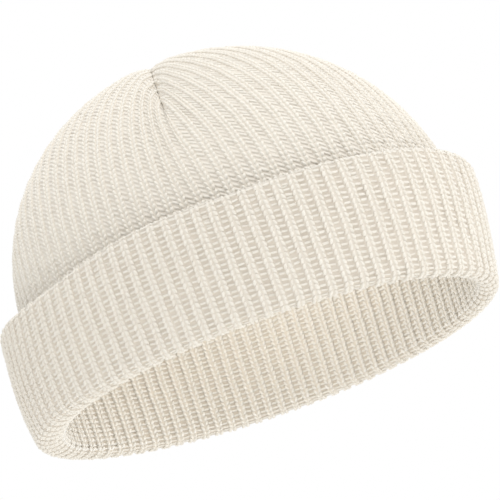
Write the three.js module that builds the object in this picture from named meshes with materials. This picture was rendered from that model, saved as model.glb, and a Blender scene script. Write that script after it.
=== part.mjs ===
// Fisherman beanie: a short ribbed cap with a turned-up cuff, in the form it has when worn.
//
// Millimetres, +Z up. The origin is the middle of the head opening, in the plane of the
// cuff's fold. The front of the cap is -Y and the wearer's right side is -X.
//
// The fabric is one knitted tube. At the top it closes in darts that meet in a cross seam.
// At the bottom it folds outwards and runs up again as the cuff. The crown is the tube down to
// the fold, and the cuff is the fold and the band above it. They meet face to face inside.

import * as THREE from 'three';

// Knitted fabric
const FABRIC_THICKNESS = 3.2;
const DARTS = 4;
const RIBS_BESIDE_DART = 11;
const CROWN_RIB_RELIEF = 1.1;
const CUFF_RIB_RELIEF = 1.5;

// Head opening, measured inside the fold
const OPENING_LENGTH = 204;
const OPENING_WIDTH = 155.2;

// Crown: outer size at the shoulder, where the wall starts to close over the head
const SHOULDER_LENGTH = 216.4;
const SHOULDER_WIDTH = 164.4;
const SHOULDER_HEIGHT = 51.5;
const CROWN_RISE = 103.5;
const CROWN_LEAN_BACK = 10.7;
const CROWN_LEAN_RIGHT = 1.6;
const CROWN_FULLNESS = 2.07;

// Darts: the length of each seam, the way the first one points (degrees from the front),
// how far the ribs twist over the crown (degrees), the depth of the crease along a seam and
// the share of a rib's way that it takes, and where the seams cross.
const DART_SEAM = 115;
const DART_DIRECTION = -69;
const CROWN_TWIST = 4;
const SEAM_DEPTH = 2.2;
const SEAM_CREASE_SHARE = 0.13;
const SEAM_BACK = 4.3;
const SEAM_LEFT = 14;

// Cuff: its ribs lean sideways by up to CUFF_LEAN on the way to the hem, and stand straight at
// the angle CUFF_LEAN_START (degrees from the front) and across from it.
const CUFF_HEIGHT = 51.3;
const FOLD_GAP = 1.6;
const CUFF_STAND_OFF = 6.2;
const HEM_ROUNDING = 1.2;
const CUFF_LEAN = 6;
const CUFF_LEAN_START = -93;
const JOIN_GAP = 0.3;

// Soft waves of the cuff: where they are (degrees from the front), how far they reach,
// their rise as a share of the cuff's height, their spread at the top as a share of its
// stand-off, and their belly above the fold as a share of the fabric's thickness.
const CUFF_WAVES = [
  { at: -158, reach: 32, rise: 0.05, spread: 0.45, belly: 2 },
  { at: -118, reach: 16, rise: -0.04, spread: 0, belly: 0.3 },
  { at: -90, reach: 14, rise: 0.03, spread: 0, belly: 0 },
  { at: -22, reach: 26, rise: 0.04, spread: 0, belly: 0 },
  { at: 27, reach: 30, rise: 0.02, spread: 0, belly: 0.6 },
  { at: 100, reach: 34, rise: 0.03, spread: 0.12, belly: 0.4 },
];

// Rows of the facets, as shares of a rib's way from its seam to the shoulder, of the wall's
// way from the shoulder to the fold, and of the cuff's height.
const OUTER_CROWN_ROWS = [0, 0.05, 0.13, 0.24, 0.37, 0.52, 0.68, 0.84, 1];
const INNER_CROWN_ROWS = [0, 0.14, 0.3, 0.5, 0.74, 1];
const WALL_ROWS = [0.45, 1];
const CUFF_ROWS = [0.08, 0.3, 0.62, 1];
const POCKET_ROWS = [0.97, 0.5];
const FOLD_STEPS = 5;
const FOLD_INNER_STEPS = 2;

// Colour of the undyed yarn
const CREAM = 0xece5d5;

const RIBS = 2 * DARTS * RIBS_BESIDE_DART;
const FACETS_PER_RIB = 2;
const TURN = 2 * Math.PI;
const HALF_OPENING = { x: OPENING_WIDTH / 2, y: OPENING_LENGTH / 2 };
const HALF_SHOULDER = { x: SHOULDER_WIDTH / 2, y: SHOULDER_LENGTH / 2 };
const FOLD_RADIUS = FABRIC_THICKNESS + FOLD_GAP / 2;
const FOLD_HEIGHT = FOLD_RADIUS;
const MEAN_CROWN_RADIUS = (HALF_SHOULDER.x + HALF_SHOULDER.y + CROWN_RISE) / 3;
const QUARTER = Math.PI / 2;

const degrees = (angle) => THREE.MathUtils.degToRad(angle);
const smooth = (share) => THREE.MathUtils.smoothstep(share, 0, 1);

// Ribs are equally wide round the oval, so a share of its girth is turned into an angle.
function makeGirth() {
  const steps = 720;
  const shares = [0];
  let previous = null;
  for (let step = 0; step <= steps; step += 1) {
    const angle = (TURN * step) / steps;
    const point = [
      (HALF_OPENING.x + FOLD_RADIUS) * Math.sin(angle),
      -(HALF_OPENING.y + FOLD_RADIUS) * Math.cos(angle),
    ];
    if (previous) {
      shares.push(shares[step - 1] + Math.hypot(point[0] - previous[0], point[1] - previous[1]));
    }
    previous = point;
  }
  const girth = shares[steps];
  const shareAt = (angle) => {
    const turns = Math.floor(angle / TURN);
    const place = ((angle - turns * TURN) / TURN) * steps;
    const step = Math.min(Math.floor(place), steps - 1);
    const length = THREE.MathUtils.lerp(shares[step], shares[step + 1], place - step);
    return turns + length / girth;
  };
  const angleAt = (share) => {
    const turns = Math.floor(share);
    const length = (share - turns) * girth;
    let step = 0;
    while (step < steps - 1 && shares[step + 1] < length) {
      step += 1;
    }
    const part = (length - shares[step]) / (shares[step + 1] - shares[step]);
    return (turns + (step + part) / steps) * TURN;
  };
  return { shareAt, angleAt };
}

const girth = makeGirth();
const seamShare = girth.shareAt(degrees(DART_DIRECTION));

// Hermite curve between two plan points with their directions
function hermite(t, from, leaving, to, arriving) {
  const t2 = t * t;
  const t3 = t2 * t;
  const a = 2 * t3 - 3 * t2 + 1;
  const b = t3 - 2 * t2 + t;
  const c = 3 * t2 - 2 * t3;
  const d = t3 - t2;
  return from.map((value, k) => a * value + b * leaving[k] + c * to[k] + d * arriving[k]);
}

// How strongly a rib sets off from its seam and meets the shoulder, for its length, and the
// share of its swing away from the seam that the rib at a seam's tip has
const LEAVE_SEAM = 1.1;
const MEET_SHOULDER = 1.04;
const TIP_SWING = 0.47;

// Plan of one rib over the crown, on a disk whose rim is the shoulder.
// It starts on the arm of the cross seam that is nearest, and swings into the wall.
function ribPlan(share, t) {
  const quarters = (share - seamShare) * DARTS;
  const arm = Math.round(quarters);
  const away = 2 * (quarters - arm);
  const seamReach = (DART_SEAM / (MEAN_CROWN_RADIUS * QUARTER)) * (1 - Math.abs(away));
  const armAngle = degrees(DART_DIRECTION - CROWN_TWIST) + (arm * TURN) / DARTS;
  const swingShare = THREE.MathUtils.lerp(TIP_SWING, 1, Math.abs(away));
  const side = THREE.MathUtils.clamp(away * RIBS_BESIDE_DART, -1, 1);
  const swing = side * (TURN / DARTS / 2) * swingShare;
  const leave = armAngle + swing;
  const rim = girth.angleAt(share);
  const from = [
    SEAM_LEFT / (HALF_SHOULDER.x * QUARTER) + seamReach * Math.sin(armAngle),
    SEAM_BACK / (HALF_SHOULDER.y * QUARTER) - seamReach * Math.cos(armAngle),
  ];
  const to = [Math.sin(rim), -Math.cos(rim)];
  const length = Math.hypot(to[0] - from[0], to[1] - from[1]);
  const setOff = LEAVE_SEAM * length;
  const leaving = [setOff * Math.sin(leave), -setOff * Math.cos(leave)];
  const arriving = to.map((value) => MEET_SHOULDER * length * value);
  return hermite(t, from, leaving, to, arriving);
}

// Point on the crown above the shoulder, inset from the outer surface
function crownPoint(share, t, inset) {
  const plan = ribPlan(share, t);
  const reach = Math.min(Math.hypot(plan[0], plan[1]), 1);
  const angle = reach * QUARTER;
  const spread = Math.sin(angle) ** (2 / CROWN_FULLNESS) / Math.max(reach, 1e-9);
  const lift = Math.max(Math.cos(angle), 0) ** (2 / CROWN_FULLNESS);
  return new THREE.Vector3(
    (HALF_SHOULDER.x - inset) * spread * plan[0] - CROWN_LEAN_RIGHT * lift,
    (HALF_SHOULDER.y - inset) * spread * plan[1] + CROWN_LEAN_BACK * lift,
    SHOULDER_HEIGHT + (CROWN_RISE - inset) * lift,
  );
}

// Outward reach of the body's wall at a height up to the shoulder
function wallReach(height) {
  const share = smooth(height / SHOULDER_HEIGHT);
  return {
    x: THREE.MathUtils.lerp(HALF_OPENING.x + FABRIC_THICKNESS, HALF_SHOULDER.x, share),
    y: THREE.MathUtils.lerp(HALF_OPENING.y + FABRIC_THICKNESS, HALF_SHOULDER.y, share),
  };
}

function wallPoint(share, height, outset) {
  const angle = girth.angleAt(share);
  const reach = wallReach(height);
  return new THREE.Vector3(
    (reach.x + outset) * Math.sin(angle),
    -(reach.y + outset) * Math.cos(angle),
    height,
  );
}

// Ribs stand at every second facet edge, and the edges between them lie in the valleys.
const valley = (column) => (column % FACETS_PER_RIB === 0 ? 0 : 1);

function crownRows() {
  const outer = OUTER_CROWN_ROWS.map((t) => (column, columns) => {
    const share = seamShare + column / columns;
    const crease = SEAM_DEPTH * Math.max(1 - t / SEAM_CREASE_SHARE, 0) ** 2;
    return crownPoint(share, t, CROWN_RIB_RELIEF * valley(column) + crease);
  });
  const inner = INNER_CROWN_ROWS.map((t) => (column, columns) =>
    crownPoint(seamShare + column / columns, t, FABRIC_THICKNESS + SEAM_DEPTH * (t === 0 ? 1 : 0)));
  const bottom = FOLD_HEIGHT + JOIN_GAP;
  for (const way of WALL_ROWS) {
    const height = THREE.MathUtils.lerp(SHOULDER_HEIGHT, bottom, way);
    outer.push((column, columns) =>
      wallPoint(seamShare + column / columns, height, -CROWN_RIB_RELIEF * valley(column) * (1 - way)));
    inner.push((column, columns) =>
      wallPoint(seamShare + column / columns, height, -FABRIC_THICKNESS));
  }
  return { outer, inner };
}

// Collects triangles by the coordinates of their corners and drops those with no area.
class Facets {
  constructor() {
    this.positions = [];
    this.index = [];
    this.known = new Map();
  }

  vertex(point) {
    const key = [point.x, point.y, point.z].map((value) => Math.round(value * 1000)).join();
    if (!this.known.has(key)) {
      this.known.set(key, this.positions.length / 3);
      this.positions.push(point.x, point.y, point.z);
    }
    return this.known.get(key);
  }

  triangle(a, b, c) {
    if (a !== b && b !== c && c !== a) {
      this.index.push(a, b, c);
    }
  }

  // Closed ring of vertices from one row function
  ring(row, columns) {
    const vertices = [];
    for (let column = 0; column < columns; column += 1) {
      vertices.push(this.vertex(row(column, columns)));
    }
    return vertices;
  }

  // Band of quads between two rings of the same count, each split in two
  band(upper, lower) {
    const count = upper.length;
    for (let k = 0; k < count; k += 1) {
      const next = (k + 1) % count;
      this.triangle(upper[k], lower[k], lower[next]);
      this.triangle(upper[k], lower[next], upper[next]);
    }
  }

  // Flat edge between an outer ring and an inner ring that has half as many vertices
  edge(outer, inner) {
    const count = inner.length;
    for (let k = 0; k < count; k += 1) {
      const next = (k + 1) % count;
      const middle = outer[2 * k + 1];
      this.triangle(outer[2 * k], inner[k], middle);
      this.triangle(middle, inner[k], inner[next]);
      this.triangle(middle, inner[next], outer[(2 * k + 2) % outer.length]);
    }
  }

  geometry() {
    const geometry = new THREE.BufferGeometry();
    geometry.setAttribute('position', new THREE.Float32BufferAttribute(this.positions, 3));
    geometry.setIndex(this.index);
    const flat = geometry.toNonIndexed();
    flat.computeVertexNormals();
    return flat;
  }
}

function makeCrown() {
  const facets = new Facets();
  const rows = crownRows();
  const outer = rows.outer.map((row) => facets.ring(row, RIBS * FACETS_PER_RIB));
  const inner = rows.inner.map((row) => facets.ring(row, RIBS));
  for (let k = 1; k < outer.length; k += 1) {
    facets.band(outer[k - 1], outer[k]);
  }
  for (let k = 1; k < inner.length; k += 1) {
    facets.band(inner[k], inner[k - 1]);
  }
  facets.edge(outer[outer.length - 1], inner[inner.length - 1]);
  return facets.geometry();
}

// Sum of the cuff's waves at an angle, each a smooth hump, with the belly as a length
function cuffWave(angle) {
  const sum = { rise: 0, spread: 0, belly: 0 };
  for (const wave of CUFF_WAVES) {
    const offset = angle - degrees(wave.at);
    const away = Math.abs(Math.atan2(Math.sin(offset), Math.cos(offset)));
    const hump = 1 - smooth(away / degrees(2 * wave.reach));
    sum.rise += wave.rise * hump;
    sum.spread += wave.spread * hump;
    sum.belly += wave.belly * FABRIC_THICKNESS * hump;
  }
  return sum;
}

// Angle of a rib on the cuff: the ribs lean sideways as they rise, each way on its side
function cuffAngle(share, rise) {
  const angle = girth.angleAt(share);
  const lean = (2 * CUFF_LEAN) / (HALF_OPENING.x + HALF_OPENING.y);
  return angle - lean * rise * Math.sin(angle - degrees(CUFF_LEAN_START));
}

// Point on the cuff's band at a share of its height; depth runs inwards from the outer face.
function cuffPoint(share, rise, depth, drop) {
  const angle = cuffAngle(share, rise);
  const wave = cuffWave(angle);
  const top = CUFF_HEIGHT * (1 + wave.rise) - drop;
  const height = THREE.MathUtils.lerp(FOLD_HEIGHT, top, rise);
  const body = wallReach(Math.min(height, SHOULDER_HEIGHT));
  const open = Math.sin(rise * QUARTER);
  const gap = THREE.MathUtils.lerp(FOLD_GAP, CUFF_STAND_OFF * (1 + wave.spread), open);
  const outset = gap + FABRIC_THICKNESS - depth + wave.belly * (1 - smooth(rise));
  return new THREE.Vector3(
    (body.x + outset) * Math.sin(angle),
    -(body.y + outset) * Math.cos(angle),
    height,
  );
}

// Point on the fold, an arc round the middle of the turn, from inside (0) to outside (1)
function foldPoint(share, way, radius) {
  const angle = girth.angleAt(share);
  const turn = Math.PI * way;
  const outset = FOLD_RADIUS - radius * Math.cos(turn) + cuffWave(angle).belly * smooth(way);
  return new THREE.Vector3(
    (HALF_OPENING.x + outset) * Math.sin(angle),
    -(HALF_OPENING.y + outset) * Math.cos(angle),
    FOLD_HEIGHT - radius * Math.sin(turn),
  );
}

// Section of the cuff, from the join inside, round the fold, up the band and down the pocket
function cuffRows() {
  const rows = [];
  const at = (column, columns) => seamShare + column / columns;
  for (let step = 0; step <= FOLD_STEPS; step += 1) {
    const way = step / FOLD_STEPS;
    const relief = CUFF_RIB_RELIEF * Math.min(1, 2 * way);
    rows.push((column, columns) =>
      foldPoint(at(column, columns), way, FOLD_RADIUS - relief * valley(column)));
  }
  for (const rise of CUFF_ROWS) {
    const last = rise === 1;
    rows.push((column, columns) =>
      cuffPoint(at(column, columns), rise, CUFF_RIB_RELIEF * valley(column), last ? HEM_ROUNDING : 0));
  }
  rows.push((column, columns) => cuffPoint(at(column, columns), 1, FABRIC_THICKNESS / 2, 0));
  for (const rise of POCKET_ROWS) {
    rows.push((column, columns) => cuffPoint(at(column, columns), rise, FABRIC_THICKNESS, 0));
  }
  for (let step = FOLD_INNER_STEPS; step >= 0; step -= 1) {
    rows.push((column, columns) =>
      foldPoint(at(column, columns), step / FOLD_INNER_STEPS, FOLD_GAP / 2));
  }
  return rows;
}

function makeCuff() {
  const facets = new Facets();
  const rings = cuffRows().map((row) => facets.ring(row, RIBS * FACETS_PER_RIB));
  for (let k = 0; k < rings.length; k += 1) {
    facets.band(rings[(k + 1) % rings.length], rings[k]);
  }
  return facets.geometry();
}

function makeMesh(name, geometry, roughness) {
  const material = new THREE.MeshStandardMaterial({ color: CREAM, roughness, metalness: 0 });
  const mesh = new THREE.Mesh(geometry, material);
  mesh.name = name;
  return mesh;
}

const beanie = new THREE.Group();
beanie.add(makeMesh('crown', makeCrown(), 0.95));
beanie.add(makeMesh('cuff', makeCuff(), 0.95));

export default beanie;
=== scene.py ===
"""Fisherman beanie: the knitted surface of a short ribbed cap, with its light and camera.

Lengths are millimetres until a mesh is made, which turns them into metres. The fabric has
two faces. The outer face covers the crown. The other one is the cap's inside, and it runs
on round the fold and up the outside of the cuff. A place on a face is given by a rib
number, a distance along the rib and a height above the face.
"""
import math

import bpy
import numpy as np
from mathutils import Matrix, Vector


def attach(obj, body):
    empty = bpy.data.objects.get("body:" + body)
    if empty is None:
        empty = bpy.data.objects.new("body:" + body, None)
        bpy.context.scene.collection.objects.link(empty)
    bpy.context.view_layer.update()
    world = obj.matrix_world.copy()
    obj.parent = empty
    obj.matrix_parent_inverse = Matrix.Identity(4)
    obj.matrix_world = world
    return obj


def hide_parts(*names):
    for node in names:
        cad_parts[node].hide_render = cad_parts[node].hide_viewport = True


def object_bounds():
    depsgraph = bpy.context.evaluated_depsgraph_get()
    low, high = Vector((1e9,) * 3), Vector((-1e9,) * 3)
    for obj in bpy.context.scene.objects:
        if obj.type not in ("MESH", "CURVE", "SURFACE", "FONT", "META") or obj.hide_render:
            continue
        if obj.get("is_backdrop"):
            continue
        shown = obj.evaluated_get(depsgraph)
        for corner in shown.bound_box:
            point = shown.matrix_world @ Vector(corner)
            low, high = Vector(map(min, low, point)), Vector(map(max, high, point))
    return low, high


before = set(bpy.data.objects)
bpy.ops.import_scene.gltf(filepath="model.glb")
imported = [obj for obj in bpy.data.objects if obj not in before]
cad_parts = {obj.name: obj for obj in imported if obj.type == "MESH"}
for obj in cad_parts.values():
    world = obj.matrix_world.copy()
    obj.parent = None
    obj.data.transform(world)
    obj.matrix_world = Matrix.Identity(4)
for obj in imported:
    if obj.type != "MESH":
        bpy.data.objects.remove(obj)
cad_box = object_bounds()
rng = np.random.default_rng(7)

# Sizes of the cap, as in its solids
FABRIC = 3.2
DARTS = 4
RIBS_BESIDE_DART = 11
RIBS = 2 * DARTS * RIBS_BESIDE_DART
HALF_OPENING = np.array([77.6, 102.0])
HALF_SHOULDER = np.array([82.2, 108.2])
SHOULDER_HEIGHT = 51.5
CROWN_RISE = 103.5
CROWN_LEAN = np.array([-1.6, 10.7])
CROWN_FULLNESS = 2.07
DART_SEAM = 115.0
DART_DIRECTION = math.radians(-69)
CROWN_TWIST = math.radians(4)
SEAM_DEPTH = 2.2
SEAM_CREASE_SHARE = 0.13
SEAM_CROSSING = np.array([14.0, 4.3])
LEAVE_SEAM = 1.1
MEET_SHOULDER = 1.04
TIP_SWING = 0.47
CUFF_HEIGHT = 51.3
FOLD_GAP = 1.6
CUFF_STAND_OFF = 6.2
CUFF_LEAN = 6.0
CUFF_LEAN_START = math.radians(-93)

# Soft waves of the cuff: place (degrees), reach (degrees), rise, spread, belly
CUFF_WAVES = [
    (-158, 32, 0.05, 0.45, 2.0),
    (-118, 16, -0.04, 0.0, 0.3),
    (-90, 14, 0.03, 0.0, 0.0),
    (-22, 26, 0.04, 0.0, 0.0),
    (27, 30, 0.02, 0.0, 0.6),
    (100, 34, 0.03, 0.12, 0.4),
]

TURN = 2 * math.pi
QUARTER = math.pi / 2
FOLD_RADIUS = FABRIC + FOLD_GAP / 2
HEM_RADIUS = FABRIC / 2
MEAN_CROWN_RADIUS = (HALF_SHOULDER.sum() + CROWN_RISE) / 3

# Small hole in the first seam: its middle, its reach and its depth
PIT_PLACE = np.array([-55.5, -15.3, 127.5])
PIT_REACH = 2.4
PIT_DEPTH = 3.5

# Samples round the oval and along a rib on each part of its way, and how far the hem turns
GIRTH_SAMPLES = 2881
WALL_SAMPLES = 24
CROWN_SAMPLES = 150
DOME_SAMPLES = 110
FOLD_SAMPLES = 26
FOLD_BOTTOM_SAMPLE = 12
BAND_SAMPLES = 40
HEM_SAMPLES = 9
HEM_TOP_SAMPLE = 5
HEM_TURN = 0.8 * math.pi

# Pitch of the ribs, length of the courses, and share of a course left free at a rib's end
RIB_PITCH = 7.0
CROWN_COURSE = 2.5
CUFF_COURSE = 2.35
LAST_COURSE_SHARE = 0.1

# Sideways waves of a rib: how far each one strays, their lengths and their number
WOBBLE = 0.07
WOBBLE_SHORTEST = 14
WOBBLE_LONGEST = 44
WOBBLE_COUNT = 3

# Legs of the stitches on the ribs: thickness, distance from the rib's middle at start and
# end, depth, the courses that a leg starts behind its place and runs on, its curve sideways,
# its arch, how far its ends dip, its sides, and the sides and widening of legs inside the cap
LEG_RADIUS = 0.8
LEG_START = 0.35
LEG_END = 1.6
LEG_DEPTH = 0.7
LEG_BEHIND = 0.66
LEG_COURSES = 1.3
LEG_BEND = 0.8
LEG_ARCH = 0.4
LEG_START_DIP = 0.45
LEG_END_DIP = 0.2
LEG_SIDES = 5
INSIDE_LEG_SIDES = 4
INSIDE_WIDTH = 1.2

# Bars across the valleys: thickness, length, depth, slope, arch, bend along the rib, sides
CROWN_RUNG = 0.95
CUFF_RUNG = 0.7
RUNG_LENGTH = 4.4
RUNG_DEPTH = 1.25
RUNG_SLOPE = 0.33
RUNG_ARCH = 0.35
RUNG_BEND = 0.18
RUNG_SIDES = 4

# Depth of a bar at the cuff's free edge, and the distance over which the valleys fade there
HEM_DEPTH = 0.5
HEM_REACH = 5.5

# Spread of the small irregularities: shares for radii, slopes and shades, or millimetres
LEG_RADIUS_SPREAD = 0.06
LEG_START_SPREAD = 0.07
LEG_END_SPREAD = 0.1
LEG_PLACE_SPREAD = 0.09
LEG_HEIGHT_SPREAD = 0.05
LEG_SHADE_SPREAD = 0.05
RUNG_PLACE_SPREAD = 0.12
RUNG_SLOPE_SPREAD = 0.07
RUNG_HEIGHT_SPREAD = 0.08
RUNG_RADIUS_SPREAD = 0.08
RUNG_SHADE_SPREAD = 0.06

# Fabric behind the yarn: columns to a rib, width of a ridge with its flat and its sloping
# share, depths on ridges and in valleys, and lengths of its rows
GROUND_COLUMNS = 6
WALE = 3.8
WALE_FLAT_SHARE = 0.3
WALE_SIDE_SHARE = 0.35
CREST_DEPTH = 0.62
CROWN_VALLEY = 1.0
CUFF_VALLEY = 1.4
COVERED_ROW = 16
CROWN_ROW = 3.5
DEEP_INSIDE_ROW = 6
INSIDE_ROW = 4
CUFF_ROW = 2.2
CUFF_BACK_ROW = 10

# Shades of the yarn, from the shaded colour (0) to the light one (1); several of them are
# painted light and painted shade, as noted at each
CROWN_SHADE = 0.5
# Painted shade: the crown's bars in the valleys are darker than its legs
CROWN_RUNG_PAINTED_SHADE = 0.4
# Painted shade: the cuff's yarn is a little darker than the crown's, against the stronger light that
# falls on it
CUFF_SHADE = 0.45
# Painted light: the inside's yarn takes the lightest, least yellow shade, so that the dim hollow looks as
# lit as the outside
INSIDE_PAINTED_LIGHT_SHADE = 1.0
# Painted shade: the fabric behind the yarn is darker than the yarn on the ridges between the legs, and on
# the cuff and inside darker still in the valleys
CREST_PAINTED_SHADE = 0.25
CROWN_VALLEY_PAINTED_SHADE = 0.25
CUFF_VALLEY_PAINTED_SHADE = 0.0
INSIDE_VALLEY_PAINTED_SHADE = 0.0
YARN_SHADED = (0.72, 0.655, 0.57, 1)
YARN_MIDDLE = (0.84, 0.80, 0.725, 1)
YARN_LIGHT = (0.88, 0.85, 0.79, 1)

# Surface of the yarn, and the fine bump of its fibres (its height in metres)
YARN_ROUGHNESS = 0.92
YARN_SPECULAR = 0.2
YARN_SHEEN = 0.25
YARN_SHEEN_ROUGHNESS = 0.5
FIBRE_SCALE = 1400
FIBRE_DETAIL = 3
FIBRE_STRENGTH = 0.35
FIBRE_HEIGHT = 0.0004

MILLIMETRES_IN_METRE = 1000

# Stands in for a length of zero where something is divided by it
TINY = 1e-9


def smooth(share):
    share = np.clip(share, 0, 1)
    return share * share * (3 - 2 * share)


def lerp(a, b, share):
    return a + (b - a) * share


def make_girth():
    """Table of the oval's girth against the angle round it, so that ribs are equally wide."""
    angles = np.linspace(0, TURN, GIRTH_SAMPLES)
    x = (HALF_OPENING[0] + FOLD_RADIUS) * np.sin(angles)
    y = -(HALF_OPENING[1] + FOLD_RADIUS) * np.cos(angles)
    length = np.concatenate([[0], np.cumsum(np.hypot(np.diff(x), np.diff(y)))])
    return length / length[-1], angles


GIRTH_SHARES, GIRTH_ANGLES = make_girth()


def angle_at(share):
    turns = np.floor(share)
    return np.interp(share - turns, GIRTH_SHARES, GIRTH_ANGLES) + TURN * turns


SEAM_SHARE = float(np.interp(DART_DIRECTION % TURN, GIRTH_ANGLES, GIRTH_SHARES)) - 1


def rib_plan(share, t):
    """Plan of a rib over the crown on a disk whose rim is the shoulder, from its seam (t = 0)."""
    quarters = (share - SEAM_SHARE) * DARTS
    arm = np.round(quarters)
    away = 2 * (quarters - arm)
    reach = DART_SEAM / (MEAN_CROWN_RADIUS * QUARTER) * (1 - np.abs(away))
    arm_angle = DART_DIRECTION - CROWN_TWIST + arm * TURN / DARTS
    side = np.clip(away * RIBS_BESIDE_DART, -1, 1)
    leave = arm_angle + side * TURN / DARTS / 2 * lerp(TIP_SWING, 1, np.abs(away))
    rim = angle_at(share)
    crossing = SEAM_CROSSING / (HALF_SHOULDER * QUARTER)
    start = (crossing[0] + reach * np.sin(arm_angle), crossing[1] - reach * np.cos(arm_angle))
    end = (np.sin(rim), -np.cos(rim))
    length = np.hypot(end[0] - start[0], end[1] - start[1])
    leaving = (LEAVE_SEAM * length * np.sin(leave), -LEAVE_SEAM * length * np.cos(leave))
    arriving = (MEET_SHOULDER * length * end[0], MEET_SHOULDER * length * end[1])
    a = 2 * t**3 - 3 * t**2 + 1
    b = t**3 - 2 * t**2 + t
    c = 3 * t**2 - 2 * t**3
    d = t**3 - t**2
    return [a * start[k] + b * leaving[k] + c * end[k] + d * arriving[k] for k in (0, 1)]


def crown_point(share, t, inset):
    """Point and outward direction on the crown above the shoulder."""
    x, y = rib_plan(share, t)
    reach = np.minimum(np.hypot(x, y), 1)
    angle = reach * QUARTER
    spread = np.sin(angle) ** (2 / CROWN_FULLNESS) / np.maximum(reach, TINY)
    lift = np.maximum(np.cos(angle), 0) ** (2 / CROWN_FULLNESS)
    across = (HALF_SHOULDER[0] - inset) * spread * x
    along = (HALF_SHOULDER[1] - inset) * spread * y
    up = (CROWN_RISE - inset) * lift
    point = np.stack(
        [across + CROWN_LEAN[0] * lift, along + CROWN_LEAN[1] * lift, SHOULDER_HEIGHT + up], -1
    )
    normal = np.stack(
        [across / HALF_SHOULDER[0] ** 2, along / HALF_SHOULDER[1] ** 2, up / CROWN_RISE**2], -1
    )
    return point, normal / np.linalg.norm(normal, axis=-1, keepdims=True)


def wall_reach(height):
    share = smooth(height / SHOULDER_HEIGHT)
    low = HALF_OPENING + FABRIC
    return [lerp(low[k], HALF_SHOULDER[k], share) for k in (0, 1)]


def wall_point(share, height, outset):
    """Point and outward direction on the wall under the shoulder."""
    angle = angle_at(share)
    x, y = wall_reach(height)
    point = np.stack([(x + outset) * np.sin(angle), -(y + outset) * np.cos(angle), height], -1)
    normal = np.stack([np.sin(angle) / x, -np.cos(angle) / y, 0 * height], -1)
    return point, normal / np.linalg.norm(normal, axis=-1, keepdims=True)


def cuff_wave(angle):
    rise = spread = belly = 0
    for at, reach, wave_rise, wave_spread, wave_belly in CUFF_WAVES:
        offset = angle - math.radians(at)
        away = np.abs(np.arctan2(np.sin(offset), np.cos(offset)))
        hump = 1 - smooth(away / math.radians(2 * reach))
        rise = rise + wave_rise * hump
        spread = spread + wave_spread * hump
        belly = belly + wave_belly * FABRIC * hump
    return rise, spread, belly


def cuff_angle(share, rise):
    """Angle of a rib on the cuff, where the ribs lean sideways as they rise."""
    angle = angle_at(share)
    lean = 2 * CUFF_LEAN / HALF_OPENING.sum()
    return angle - lean * rise * np.sin(angle - CUFF_LEAN_START)


def cuff_point(share, rise, depth):
    """Point on the cuff's band; rise 0 is the fold's top and 1 the free edge."""
    angle = cuff_angle(share, rise)
    wave_rise, wave_spread, belly = cuff_wave(angle)
    height = lerp(FOLD_RADIUS, CUFF_HEIGHT * (1 + wave_rise), rise)
    x, y = wall_reach(np.minimum(height, SHOULDER_HEIGHT))
    gap = lerp(FOLD_GAP, CUFF_STAND_OFF * (1 + wave_spread), np.sin(rise * QUARTER))
    outset = gap + FABRIC - depth + belly * (1 - smooth(rise))
    return np.stack([(x + outset) * np.sin(angle), -(y + outset) * np.cos(angle), height], -1)


def fold_point(share, way, radius):
    """Point on the fold, from inside the opening (way 0) to the outside (way 1)."""
    angle = angle_at(share)
    turn = math.pi * way
    outset = FOLD_RADIUS - radius * np.cos(turn) + cuff_wave(angle)[2] * smooth(way)
    x = (HALF_OPENING[0] + outset) * np.sin(angle)
    y = -(HALF_OPENING[1] + outset) * np.cos(angle)
    return np.stack([x, y, FOLD_RADIUS - radius * np.sin(turn)], -1)


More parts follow.
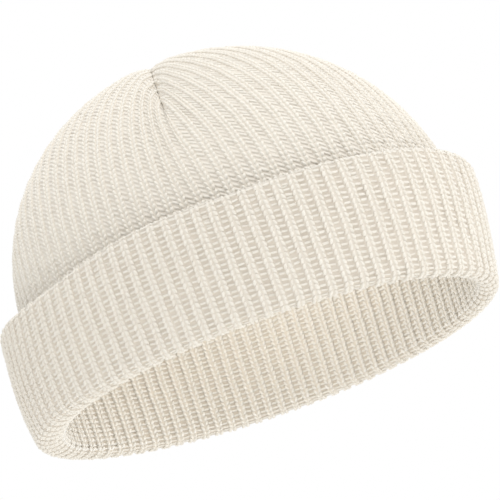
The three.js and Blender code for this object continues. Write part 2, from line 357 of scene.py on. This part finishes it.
class Face:
    """One face of the fabric, sampled along its ribs, that turns rib places into points."""

    COLUMNS_PER_RIB = 8
    SAMPLES = 220

    def __init__(self, points, normals, start, hem, course):
        """points and normals are arrays of columns and samples.

        start is the sample that distances are counted from, and hem the one at the free edge.
        course is the length of a stitch.
        """
        step = np.linalg.norm(np.diff(points, axis=1), axis=2)
        length = np.concatenate([np.zeros((len(points), 1)), np.cumsum(step, axis=1)], axis=1)
        self.zero = length[:, start].copy()
        self.length = length[:, -1].copy()
        self.course = course
        self.hem = length[:, hem] - self.zero
        self.points = np.empty((len(points), self.SAMPLES, 3))
        self.normals = np.empty_like(self.points)
        way = np.linspace(0, 1, self.SAMPLES)
        for column in range(len(points)):
            place = way * self.length[column]
            for axis in range(3):
                self.points[column, :, axis] = np.interp(place, length[column], points[column, :, axis])
                self.normals[column, :, axis] = np.interp(place, length[column], normals[column, :, axis])
        self.normals /= np.linalg.norm(self.normals, axis=2, keepdims=True)

    def hem_at(self, rib):
        """Distance along a rib of the top of the cuff's free edge."""
        column = np.round(np.mod(rib, RIBS) * self.COLUMNS_PER_RIB).astype(int) % len(self.points)
        return self.hem[column]

    def span(self, rib):
        """Lowest and highest distance along a rib."""
        column = int(round(rib * self.COLUMNS_PER_RIB)) % len(self.points)
        return -self.zero[column], self.length[column] - self.zero[column]

    def pitch_at(self, rib, along):
        """Width of a rib there, square to the rib."""
        width = self.at(rib + 0.5, along, 0 * along) - self.at(rib - 0.5, along, 0 * along)
        way = self.at(rib, along + 1, 0 * along) - self.at(rib, along - 1, 0 * along)
        way /= np.maximum(np.linalg.norm(way, axis=-1, keepdims=True), TINY)
        return np.linalg.norm(width - way * (width * way).sum(-1, keepdims=True), axis=-1)

    def at(self, rib, along, height):
        columns = len(self.points)
        place = np.mod(rib, RIBS) * self.COLUMNS_PER_RIB
        low = np.floor(place).astype(int) % columns
        high = (low + 1) % columns
        part = place - np.floor(place)
        zero = lerp(self.zero[low], self.zero[high], part)
        length = lerp(self.length[low], self.length[high], part)
        sample = np.clip((along + zero) / length, 0, 1) * (self.SAMPLES - 1)
        first = np.minimum(np.floor(sample).astype(int), self.SAMPLES - 2)
        rest = (sample - first)[..., None]
        part = part[..., None]

        def mix(table):
            left = lerp(table[low, first], table[low, first + 1], rest)
            right = lerp(table[high, first], table[high, first + 1], rest)
            return lerp(left, right, part)

        return mix(self.points) + mix(self.normals) * np.asarray(height)[..., None]


def face_columns():
    count = RIBS * Face.COLUMNS_PER_RIB
    return SEAM_SHARE + np.arange(count)[:, None] / count


def seam_crease(t):
    """Depth of the crease along a seam, at a share of a rib's way over the crown."""
    return SEAM_DEPTH * np.maximum(1 - t / SEAM_CREASE_SHARE, 0) ** 2


def with_pit(points, outward):
    """The points with the small hole in the first seam pressed in."""
    offset = points - PIT_PLACE
    offset = offset - outward * (offset * outward).sum(-1, keepdims=True)
    distance = np.linalg.norm(offset, axis=-1, keepdims=True)
    return points - outward * PIT_DEPTH * np.exp(-((distance / PIT_REACH) ** 2))


def make_outer_face():
    """Outside of the crown, from the fold inside the cuff up to the seams."""
    share = face_columns()
    heights = np.linspace(FOLD_RADIUS, SHOULDER_HEIGHT, WALL_SAMPLES)[None, :]
    low, low_normal = wall_point(share + 0 * heights, heights + 0 * share, 0)
    t = np.linspace(1, 0, CROWN_SAMPLES)[None, 1:]
    crease = seam_crease(t)
    high, high_normal = crown_point(share + 0 * t, t + 0 * share, crease + 0 * share)
    points = np.concatenate([low, with_pit(high, high_normal)], axis=1)
    normals = np.concatenate([low_normal, high_normal], axis=1)
    return Face(points, normals, 0, 0, CROWN_COURSE)


def outward_in_plan(share):
    """Direction square to the oval of the opening, seen from above."""
    angle = angle_at(share)
    out = np.stack([np.sin(angle) / HALF_OPENING[0], -np.cos(angle) / HALF_OPENING[1]], -1)
    return out / np.linalg.norm(out, axis=-1, keepdims=True)


def fold_surface(share, out):
    way = np.linspace(0, 1, FOLD_SAMPLES)[None, 1:]
    turn = math.pi * way
    normal = np.concatenate(
        [out * -np.cos(turn)[..., None], -np.sin(turn + 0 * share)[..., None]], axis=-1
    )
    return fold_point(share + 0 * way, way + 0 * share, FOLD_RADIUS), normal


def band_surface(share, rise, depth, side):
    """The cuff's band at a depth, with side as the direction that the surface looks."""
    points = cuff_point(share + 0 * rise, rise + 0 * share, depth)
    return points, np.concatenate([side + 0 * points[..., :2], 0 * points[..., :1]], axis=-1)


def hem_surface(edge, side):
    """The rounded free edge, from the band's last points over the top."""
    turn = np.linspace(0, HEM_TURN, HEM_SAMPLES)[None, 1:, None]
    normal = side * np.cos(turn) + np.array([0, 0, 1.0]) * np.sin(turn)
    return edge - side * HEM_RADIUS + normal * HEM_RADIUS, normal


def make_inner_face():
    """Inside of the cap, from the seams down, round the fold and up the outside of the cuff."""
    share = face_columns()
    t = np.linspace(0, 1, DOME_SAMPLES)[None, :-1]
    crease = seam_crease(t)
    dome, dome_normal = crown_point(share + 0 * t, t + 0 * share, FABRIC + crease + 0 * share)
    dome = with_pit(dome, dome_normal)
    heights = np.linspace(SHOULDER_HEIGHT, FOLD_RADIUS, WALL_SAMPLES)[None, :]
    wall, wall_normal = wall_point(share + 0 * heights, heights + 0 * share, -FABRIC)
    out = outward_in_plan(share)
    fold, fold_normal = fold_surface(share, out)
    rise = np.linspace(0, 1, BAND_SAMPLES)[None, 1:]
    band, band_normal = band_surface(share, rise, 0, out)
    hem, hem_normal = hem_surface(band[:, -1:], band_normal[:, -1:])
    back_rise = np.linspace(1, 0, WALL_SAMPLES)[None, 1:]
    back, back_normal = band_surface(share, back_rise, FABRIC, -out)
    points = np.concatenate([dome, wall, fold, band, hem, back], axis=1)
    normals = np.concatenate(
        [-dome_normal, -wall_normal, fold_normal, band_normal, hem_normal, back_normal], axis=1
    )
    fold_start = dome.shape[1] + wall.shape[1]
    lowest = fold_start + FOLD_BOTTOM_SAMPLE
    hem_top = fold_start + fold.shape[1] + band.shape[1] + HEM_TOP_SAMPLE
    return Face(points, normals, lowest, hem_top, CUFF_COURSE)


outer_face = make_outer_face()
inner_face = make_inner_face()


class Collector:
    """Gathers vertices in millimetres, triangles and one shade value for each vertex."""

    def __init__(self):
        self.points = []
        self.triangles = []
        self.shades = []
        self.count = 0

    def add(self, points, triangles, shades):
        self.points.append(points.reshape(-1, 3))
        self.triangles.append(triangles.reshape(-1, 3) + self.count)
        self.shades.append(shades.reshape(-1))
        self.count += len(self.points[-1])


def make_object(name, parts, material):
    points = np.concatenate(parts.points) / MILLIMETRES_IN_METRE
    triangles = np.concatenate(parts.triangles)
    mesh = bpy.data.meshes.new(name)
    mesh.vertices.add(len(points))
    mesh.vertices.foreach_set("co", points.astype(np.float32).ravel())
    mesh.loops.add(triangles.size)
    mesh.loops.foreach_set("vertex_index", triangles.astype(np.int32).ravel())
    mesh.polygons.add(len(triangles))
    mesh.polygons.foreach_set("loop_start", np.arange(0, triangles.size, 3, dtype=np.int32))
    mesh.polygons.foreach_set("use_smooth", np.ones(len(triangles), dtype=bool))
    mesh.update(calc_edges=True)
    mesh.validate()
    shade = mesh.attributes.new("shade", "FLOAT", "POINT")
    shade.data.foreach_set("value", np.concatenate(parts.shades).astype(np.float32))
    mesh.materials.append(material)
    piece = bpy.data.objects.new(name, mesh)
    bpy.context.scene.collection.objects.link(piece)
    return piece


# Shape of one spindle of yarn: the places of its tips and rings, and how thick they are
LEG_SHAPE = (np.array([0, 0.2, 0.5, 0.8, 1]), np.array([0, 0.86, 1, 0.86, 0]))
RUNG_SHAPE = (np.array([0, 0.25, 0.75, 1]), np.array([0, 0.95, 0.95, 0]))


def spindle_triangles(sides, rings):
    """Triangles of one closed spindle whose vertices are a tip, its rings and a tip."""
    rows = []
    last = 1 + rings * sides
    for k in range(sides):
        after = (k + 1) % sides
        rows.append((0, 1 + after, 1 + k))
        for ring in range(rings - 1):
            base = 1 + ring * sides
            rows.append((base + k, base + after, base + sides + after))
            rows.append((base + k, base + sides + after, base + sides + k))
        base = 1 + (rings - 1) * sides
        rows.append((base + k, base + after, last))
    return np.array(rows)


def spindles(parts, face, ribs, along, line, radius, shape, sides, shade):
    """Adds a yarn spindle for each stitch.

    ribs and along give each stitch's place. line gives, for each place on a spindle of this
    shape, its offset across and along the rib and its height, as arrays for the stitches.
    """
    across, forward, height = line
    girths = shape[1]
    rings = len(girths) - 2
    total = len(ribs)
    slope_x = across[:, -1] - across[:, 0]
    slope_y = forward[:, -1] - forward[:, 0]
    size = np.hypot(slope_x, slope_y)
    side_x = slope_y / size
    side_y = -slope_x / size
    vertices = np.empty((total, 2 + rings * sides, 3))
    vertices[:, 0] = np.stack([across[:, 0], forward[:, 0], height[:, 0]], -1)
    vertices[:, -1] = np.stack([across[:, -1], forward[:, -1], height[:, -1]], -1)
    for ring in range(rings):
        k = ring + 1
        girth = radius * girths[k]
        for side in range(sides):
            turn = TURN * (side + 0.5) / sides
            spread = girth * math.cos(turn)
            vertices[:, 1 + ring * sides + side, 0] = across[:, k] + side_x * spread
            vertices[:, 1 + ring * sides + side, 1] = forward[:, k] + side_y * spread
            vertices[:, 1 + ring * sides + side, 2] = height[:, k] + girth * math.sin(turn)
    pitch = np.maximum(face.pitch_at(ribs, along), RIB_PITCH)[:, None]
    rib = ribs[:, None] + (vertices[..., 0] + wobble(ribs, along)[:, None]) / pitch
    place = along[:, None] + vertices[..., 1]
    points = face.at(rib, place, vertices[..., 2])
    faces = spindle_triangles(sides, rings)
    triangles = faces[None] + (np.arange(total) * vertices.shape[1])[:, None, None]
    parts.add(points, triangles, shade[:, None] + 0 * vertices[..., 0])


def stitch_places(face, ribs, low, high):
    """Rib numbers and distances of the stitches between two distances along each rib."""
    numbers = []
    places = []
    for rib in ribs:
        start, end = face.span(rib)
        first = math.ceil(max(low, start + face.course) / face.course)
        after = math.ceil(min(high, end - face.course * LAST_COURSE_SHARE) / face.course)
        count = max(after - first, 0)
        numbers.append(np.full(count, float(rib)))
        places.append((first + np.arange(count)) * face.course)
    return np.concatenate(numbers), np.concatenate(places)


def jitter(count, size):
    return rng.normal(0, size, count)


WOBBLE_PHASES = rng.uniform(0, TURN, (2 * RIBS, WOBBLE_COUNT))
WOBBLE_LENGTHS = rng.uniform(WOBBLE_SHORTEST, WOBBLE_LONGEST, (2 * RIBS, WOBBLE_COUNT))


def wobble(ribs, along):
    """How far a rib strays sideways, in millimetres."""
    row = np.round(np.mod(ribs, RIBS) * 2).astype(int) % (2 * RIBS)
    waves = np.sin(TURN * along[:, None] / WOBBLE_LENGTHS[row] + WOBBLE_PHASES[row])
    return WOBBLE * waves.sum(axis=1)


def knit_wales(parts, face, ribs, low, high, tone, upwards=1, sides=LEG_SIDES, width=1.0):
    """The V-shaped stitches on top of the ribs: two legs of yarn for each stitch."""
    rib, along = stitch_places(face, ribs, low, high)
    count = len(rib)
    way = LEG_SHAPE[0][None, :]
    for side in (-1, 1):
        radius = width * LEG_RADIUS * (1 + jitter(count, LEG_RADIUS_SPREAD))
        inner = width * LEG_START + jitter(count, LEG_START_SPREAD)[:, None]
        outer = width * LEG_END + jitter(count, LEG_END_SPREAD)[:, None]
        across = side * (inner + (outer - inner) * way**LEG_BEND)
        base = jitter(count, LEG_PLACE_SPREAD)[:, None]
        forward = upwards * face.course * (-LEG_BEHIND + LEG_COURSES * way) + base
        dip = LEG_START_DIP * (1 - way) + LEG_END_DIP * way**4
        height = -LEG_DEPTH + LEG_ARCH * np.sin(math.pi * way) - dip
        height = height + jitter(count, LEG_HEIGHT_SPREAD)[:, None]
        shade = tone + jitter(count, LEG_SHADE_SPREAD)
        line = (across, forward, height)
        spindles(parts, face, rib, along, line, radius, LEG_SHAPE, sides, shade)


def valley_share(face, rib, along):
    """How deep a valley is there: full, and little at the free edge of the cuff."""
    if face is not inner_face:
        return np.ones(np.shape(along))
    return smooth(np.abs(along - face.hem_at(rib)) / HEM_REACH)


def purl_rungs(parts, face, ribs, low, high, slope, thickness, tone):
    """The bars of yarn that cross each valley, one for each course."""
    rib, along = stitch_places(face, [r + 0.5 for r in ribs], low, high)
    count = len(rib)
    way = RUNG_SHAPE[0][None, :]
    across = (way - 0.5) * RUNG_LENGTH + jitter(count, RUNG_PLACE_SPREAD)[:, None]
    tilt = slope + jitter(count, RUNG_SLOPE_SPREAD)[:, None]
    bend = RUNG_BEND * face.course * np.sin(TURN * way)
    forward = tilt * across + jitter(count, RUNG_PLACE_SPREAD)[:, None] + bend
    depth = lerp(HEM_DEPTH, RUNG_DEPTH, valley_share(face, rib, along))[:, None]
    arch = RUNG_ARCH * (np.sin(math.pi * way) - 1)
    height = arch - depth + jitter(count, RUNG_HEIGHT_SPREAD)[:, None]
    radius = thickness * (1 + jitter(count, RUNG_RADIUS_SPREAD))
    shade = tone + jitter(count, RUNG_SHADE_SPREAD)
    line = (across, forward, height)
    spindles(parts, face, rib, along, line, radius, RUNG_SHAPE, RUNG_SIDES, shade)


def ground(parts, face, low, high, row_step, painted_valley_shade):
    """The closed fabric behind the yarn, between two distances along the ribs, darker than
    the yarn as painted shade in the recesses.
    """
    count = RIBS * GROUND_COLUMNS
    rib = np.arange(count) / GROUND_COLUMNS
    phase = np.abs(rib - np.round(rib)) * RIB_PITCH
    share = smooth((phase - WALE * WALE_FLAT_SHARE) / (WALE * WALE_SIDE_SHARE))
    column = np.round(rib * Face.COLUMNS_PER_RIB).astype(int) % len(face.points)
    start = np.maximum(-face.zero[column], low)
    end = np.minimum(face.length[column] - face.zero[column], high)
    rows = int(np.ceil(np.median(end - start) / row_step)) + 1
    way = np.linspace(0, 1, rows)[:, None]
    along = lerp(start[None, :], end[None, :], way)
    deep = share * valley_share(face, rib, along)
    valley = CUFF_VALLEY if face is inner_face else CROWN_VALLEY
    depth = lerp(CREST_DEPTH, valley, deep)
    points = face.at(rib + 0 * along, along, -depth)
    row = np.arange(rows - 1)[:, None]
    place = np.arange(count)[None, :]
    after = (place + 1) % count
    a = row * count + place
    b = row * count + after
    c = b + count
    d = a + count
    triangles = np.stack([a, b, c, a, c, d], -1)
    if face is inner_face:
        triangles = triangles[..., ::-1]
    # Painted shade in the recesses behind the yarn, darkest deep in the valleys
    parts.add(points, triangles, lerp(CREST_PAINTED_SHADE, painted_valley_shade, deep))


# Distances along the ribs: on the outside, where the cuff covers the crown and where its
# stitches start, and on the inner face, from the bottom of the fold, its sides, the end of
# the stitches behind the cuff and the end of those inside
COVERED = 32
STITCHED_FROM = 38
FOLD_SIDE = FOLD_RADIUS * QUARTER
SHOWN_BACK = 10.0
CUFF_END = FOLD_SIDE + CUFF_HEIGHT - FOLD_RADIUS + HEM_RADIUS * math.pi + SHOWN_BACK
FINE_INSIDE = 62.0
FAR = 1000.0
ALL_RIBS = list(range(RIBS))


def make_yarn_material():
    material = bpy.data.materials.new("knit yarn")
    material.use_nodes = True
    nodes = material.node_tree.nodes
    links = material.node_tree.links
    surface = nodes["Principled BSDF"]
    surface.inputs["Roughness"].default_value = YARN_ROUGHNESS
    surface.inputs["Specular IOR Level"].default_value = YARN_SPECULAR
    surface.inputs["Sheen Weight"].default_value = YARN_SHEEN
    surface.inputs["Sheen Roughness"].default_value = YARN_SHEEN_ROUGHNESS
    shade = nodes.new("ShaderNodeAttribute")
    shade.attribute_name = "shade"
    ramp = nodes.new("ShaderNodeValToRGB")
    ramp.color_ramp.elements[0].color = YARN_SHADED
    ramp.color_ramp.elements[1].color = YARN_LIGHT
    ramp.color_ramp.elements[0].position = 0.0
    ramp.color_ramp.elements[1].position = 1.0
    middle = ramp.color_ramp.elements.new(0.5)
    middle.color = YARN_MIDDLE
    links.new(shade.outputs["Fac"], ramp.inputs["Fac"])
    links.new(ramp.outputs["Color"], surface.inputs["Base Color"])
    place = nodes.new("ShaderNodeTexCoord")
    fibre = nodes.new("ShaderNodeTexNoise")
    fibre.inputs["Scale"].default_value = FIBRE_SCALE
    fibre.inputs["Detail"].default_value = FIBRE_DETAIL
    links.new(place.outputs["Object"], fibre.inputs["Vector"])
    bump = nodes.new("ShaderNodeBump")
    bump.inputs["Strength"].default_value = FIBRE_STRENGTH
    bump.inputs["Distance"].default_value = FIBRE_HEIGHT
    links.new(fibre.outputs["Fac"], bump.inputs["Height"])
    links.new(bump.outputs["Normal"], surface.inputs["Normal"])
    return material


def crown_quarters():
    """Yarn on the outside of the crown, one piece for each quarter between the seams."""
    ribs_in_quarter = 2 * RIBS_BESIDE_DART
    for quarter in range(DARTS):
        parts = Collector()
        ribs = [quarter * ribs_in_quarter + k for k in range(ribs_in_quarter)]
        knit_wales(parts, outer_face, ribs, STITCHED_FROM, FAR, CROWN_SHADE)
        # The bars are darker than the legs: painted shade in the valleys
        purl_rungs(
            parts, outer_face, ribs, STITCHED_FROM, FAR, -RUNG_SLOPE, CROWN_RUNG, CROWN_RUNG_PAINTED_SHADE
        )
        yield f"crown_stitches_{quarter + 1}", parts, "crown"


def crown_fabric():
    parts = Collector()
    ground(parts, outer_face, 0, COVERED, COVERED_ROW, CROWN_VALLEY_PAINTED_SHADE)
    ground(parts, outer_face, COVERED, FAR, CROWN_ROW, CROWN_VALLEY_PAINTED_SHADE)
    ground(parts, inner_face, -FAR, -FINE_INSIDE, DEEP_INSIDE_ROW, INSIDE_VALLEY_PAINTED_SHADE)
    ground(parts, inner_face, -FINE_INSIDE, -FOLD_SIDE, INSIDE_ROW, INSIDE_VALLEY_PAINTED_SHADE)
    return "crown_fabric", parts, "crown"


def inside_stitches():
    parts = Collector()
    low, high = -FINE_INSIDE, -FOLD_SIDE
    sides = INSIDE_LEG_SIDES
    # The inside's legs take the lightest shade: painted light in the hollow
    knit_wales(parts, inner_face, ALL_RIBS, low, high, INSIDE_PAINTED_LIGHT_SHADE, -1, sides, INSIDE_WIDTH)
    return "inside_stitches", parts, "crown"


def cuff_fabric():
    parts = Collector()
    ground(parts, inner_face, -FOLD_SIDE, CUFF_END, CUFF_ROW, CUFF_VALLEY_PAINTED_SHADE)
    ground(parts, inner_face, CUFF_END, FAR, CUFF_BACK_ROW, CUFF_VALLEY_PAINTED_SHADE)
    return "cuff_fabric", parts, "cuff"


def cuff_stitches():
    parts = Collector()
    # The cuff's legs are a little darker than the crown's: painted shade
    knit_wales(parts, inner_face, ALL_RIBS, -FOLD_SIDE, CUFF_END, CUFF_SHADE, -1)
    return "cuff_stitches", parts, "cuff"


def cuff_rungs():
    parts = Collector()
    low, high = -FOLD_SIDE, CUFF_END
    # The cuff's bars share that darker shade: painted shade
    purl_rungs(parts, inner_face, ALL_RIBS, low, high, RUNG_SLOPE, CUFF_RUNG, CUFF_SHADE)
    return "cuff_rungs", parts, "cuff"


def inside_rungs():
    parts = Collector()
    low, high = -FINE_INSIDE, -FOLD_SIDE
    # The inside's bars take the lightest shade too: painted light in the hollow
    purl_rungs(parts, inner_face, ALL_RIBS, low, high, RUNG_SLOPE, CUFF_RUNG, INSIDE_PAINTED_LIGHT_SHADE)
    return "inside_rungs", parts, "crown"


def build_cap(yarn):
    pieces = list(crown_quarters())
    pieces.append(crown_fabric())
    pieces.append(inside_stitches())
    pieces.append(cuff_fabric())
    pieces.append(cuff_stitches())
    pieces.append(cuff_rungs())
    pieces.append(inside_rungs())
    for name, parts, node in pieces:
        piece = make_object(name, parts, yarn)
        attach(piece, "root")
        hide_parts(node)


def plain_material(name, color, roughness):
    material = bpy.data.materials.new(name)
    material.use_nodes = True
    surface = material.node_tree.nodes["Principled BSDF"]
    surface.inputs["Base Color"].default_value = (*color, 1)
    surface.inputs["Roughness"].default_value = roughness
    return material


FLOOR_HEIGHT = -1.6
FLOOR_SIZE = 60
FLOOR_COLOR = (0.86, 0.86, 0.85)
FLOOR_ROUGHNESS = 0.9


def make_floor():
    bpy.ops.mesh.primitive_plane_add(size=FLOOR_SIZE, location=(0, 0, FLOOR_HEIGHT))
    floor = bpy.context.object
    floor.name = "floor"
    floor.data.materials.append(plain_material("floor", FLOOR_COLOR, FLOOR_ROUGHNESS))
    floor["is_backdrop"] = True


def make_world():
    world = bpy.data.worlds.new("world")
    world.use_nodes = True
    background = world.node_tree.nodes["Background"]
    background.inputs["Color"].default_value = (1, 1, 1, 1)
    background.inputs["Strength"].default_value = 1.0
    bpy.context.scene.world = world


# Camera fitted to the photo's outline
CAMERA_AZIMUTH = math.radians(-63.41)
CAMERA_ELEVATION = math.radians(-18.23)
CAMERA_ROLL = math.radians(17.44)
CAMERA_DISTANCE = 0.8943
CAMERA_AIM = Vector((0, -0.002, 0.060))
CAMERA_LENS = 140.93
CAMERA_SHIFT = (0.0265, -0.0015)
SENSOR_WIDTH = 36

# Soft lamps round the cap: name, distances across, upwards and towards the camera, power
LAMP_AIM = Vector((0, 0, 0.07))
LAMP_SIZE = 1.0
LAMPS = [
    ("side", 1.5, 0.2, 0.2, 3.6),
    ("top", 0.0, 1.5, 0.3, 8.0),
    ("below", 0.0, -0.8, 0.9, 1.9),
    ("below right", 0.7, -1.0, 0.6, 3.0),
]
INSIDE_LAMP_SIZE = 0.03
INSIDE_LAMP_POWER = 0.088


def camera_axes():
    a, e, r = CAMERA_AZIMUTH, CAMERA_ELEVATION, CAMERA_ROLL
    back = Vector((math.sin(a) * math.cos(e), -math.cos(a) * math.cos(e), math.sin(e)))
    right = Vector((math.cos(a), math.sin(a), 0))
    up = back.cross(right)
    across = right * math.cos(r) - up * math.sin(r)
    upright = right * math.sin(r) + up * math.cos(r)
    return across, upright, back


def make_camera():
    across, upright, back = camera_axes()
    data = bpy.data.cameras.new("camera")
    data.lens = CAMERA_LENS
    data.sensor_width = SENSOR_WIDTH
    data.shift_x, data.shift_y = CAMERA_SHIFT
    camera = bpy.data.objects.new("camera", data)
    bpy.context.scene.collection.objects.link(camera)
    turn = Matrix((across, upright, back)).transposed().to_4x4()
    camera.matrix_world = Matrix.Translation(CAMERA_AIM + back * CAMERA_DISTANCE) @ turn
    bpy.context.scene.camera = camera


def place_lamp(name, data, place):
    lamp = bpy.data.objects.new(name, data)
    bpy.context.scene.collection.objects.link(lamp)
    lamp.location = place
    lamp.visible_camera = False
    return lamp


def make_disk_lamp(name, place, power):
    data = bpy.data.lights.new(name, "AREA")
    data.shape = "DISK"
    data.size = LAMP_SIZE
    data.energy = power
    lamp = place_lamp(name, data, place)
    lamp.rotation_mode = "QUATERNION"
    lamp.rotation_quaternion = (LAMP_AIM - place).to_track_quat("-Z", "Y")


def make_inside_lamp():
    """A weak soft lamp in the hollow, so that the lining is as light as the outside."""
    data = bpy.data.lights.new("inside", "POINT")
    data.shadow_soft_size = INSIDE_LAMP_SIZE
    data.energy = INSIDE_LAMP_POWER
    place_lamp("inside", data, LAMP_AIM)


def make_lamps():
    across, upright, back = camera_axes()
    for name, right, up, near, power in LAMPS:
        place = LAMP_AIM + across * right + upright * up + back * near
        make_disk_lamp(name, place, power)
    make_inside_lamp()


build_cap(make_yarn_material())
make_floor()
make_world()
make_camera()
make_lamps()
bpy.context.scene.view_settings.view_transform = "Standard"

boxes = {"cad": cad_box, "visual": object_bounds()}
{name: [list(corner) for corner in box] for name, box in boxes.items()}
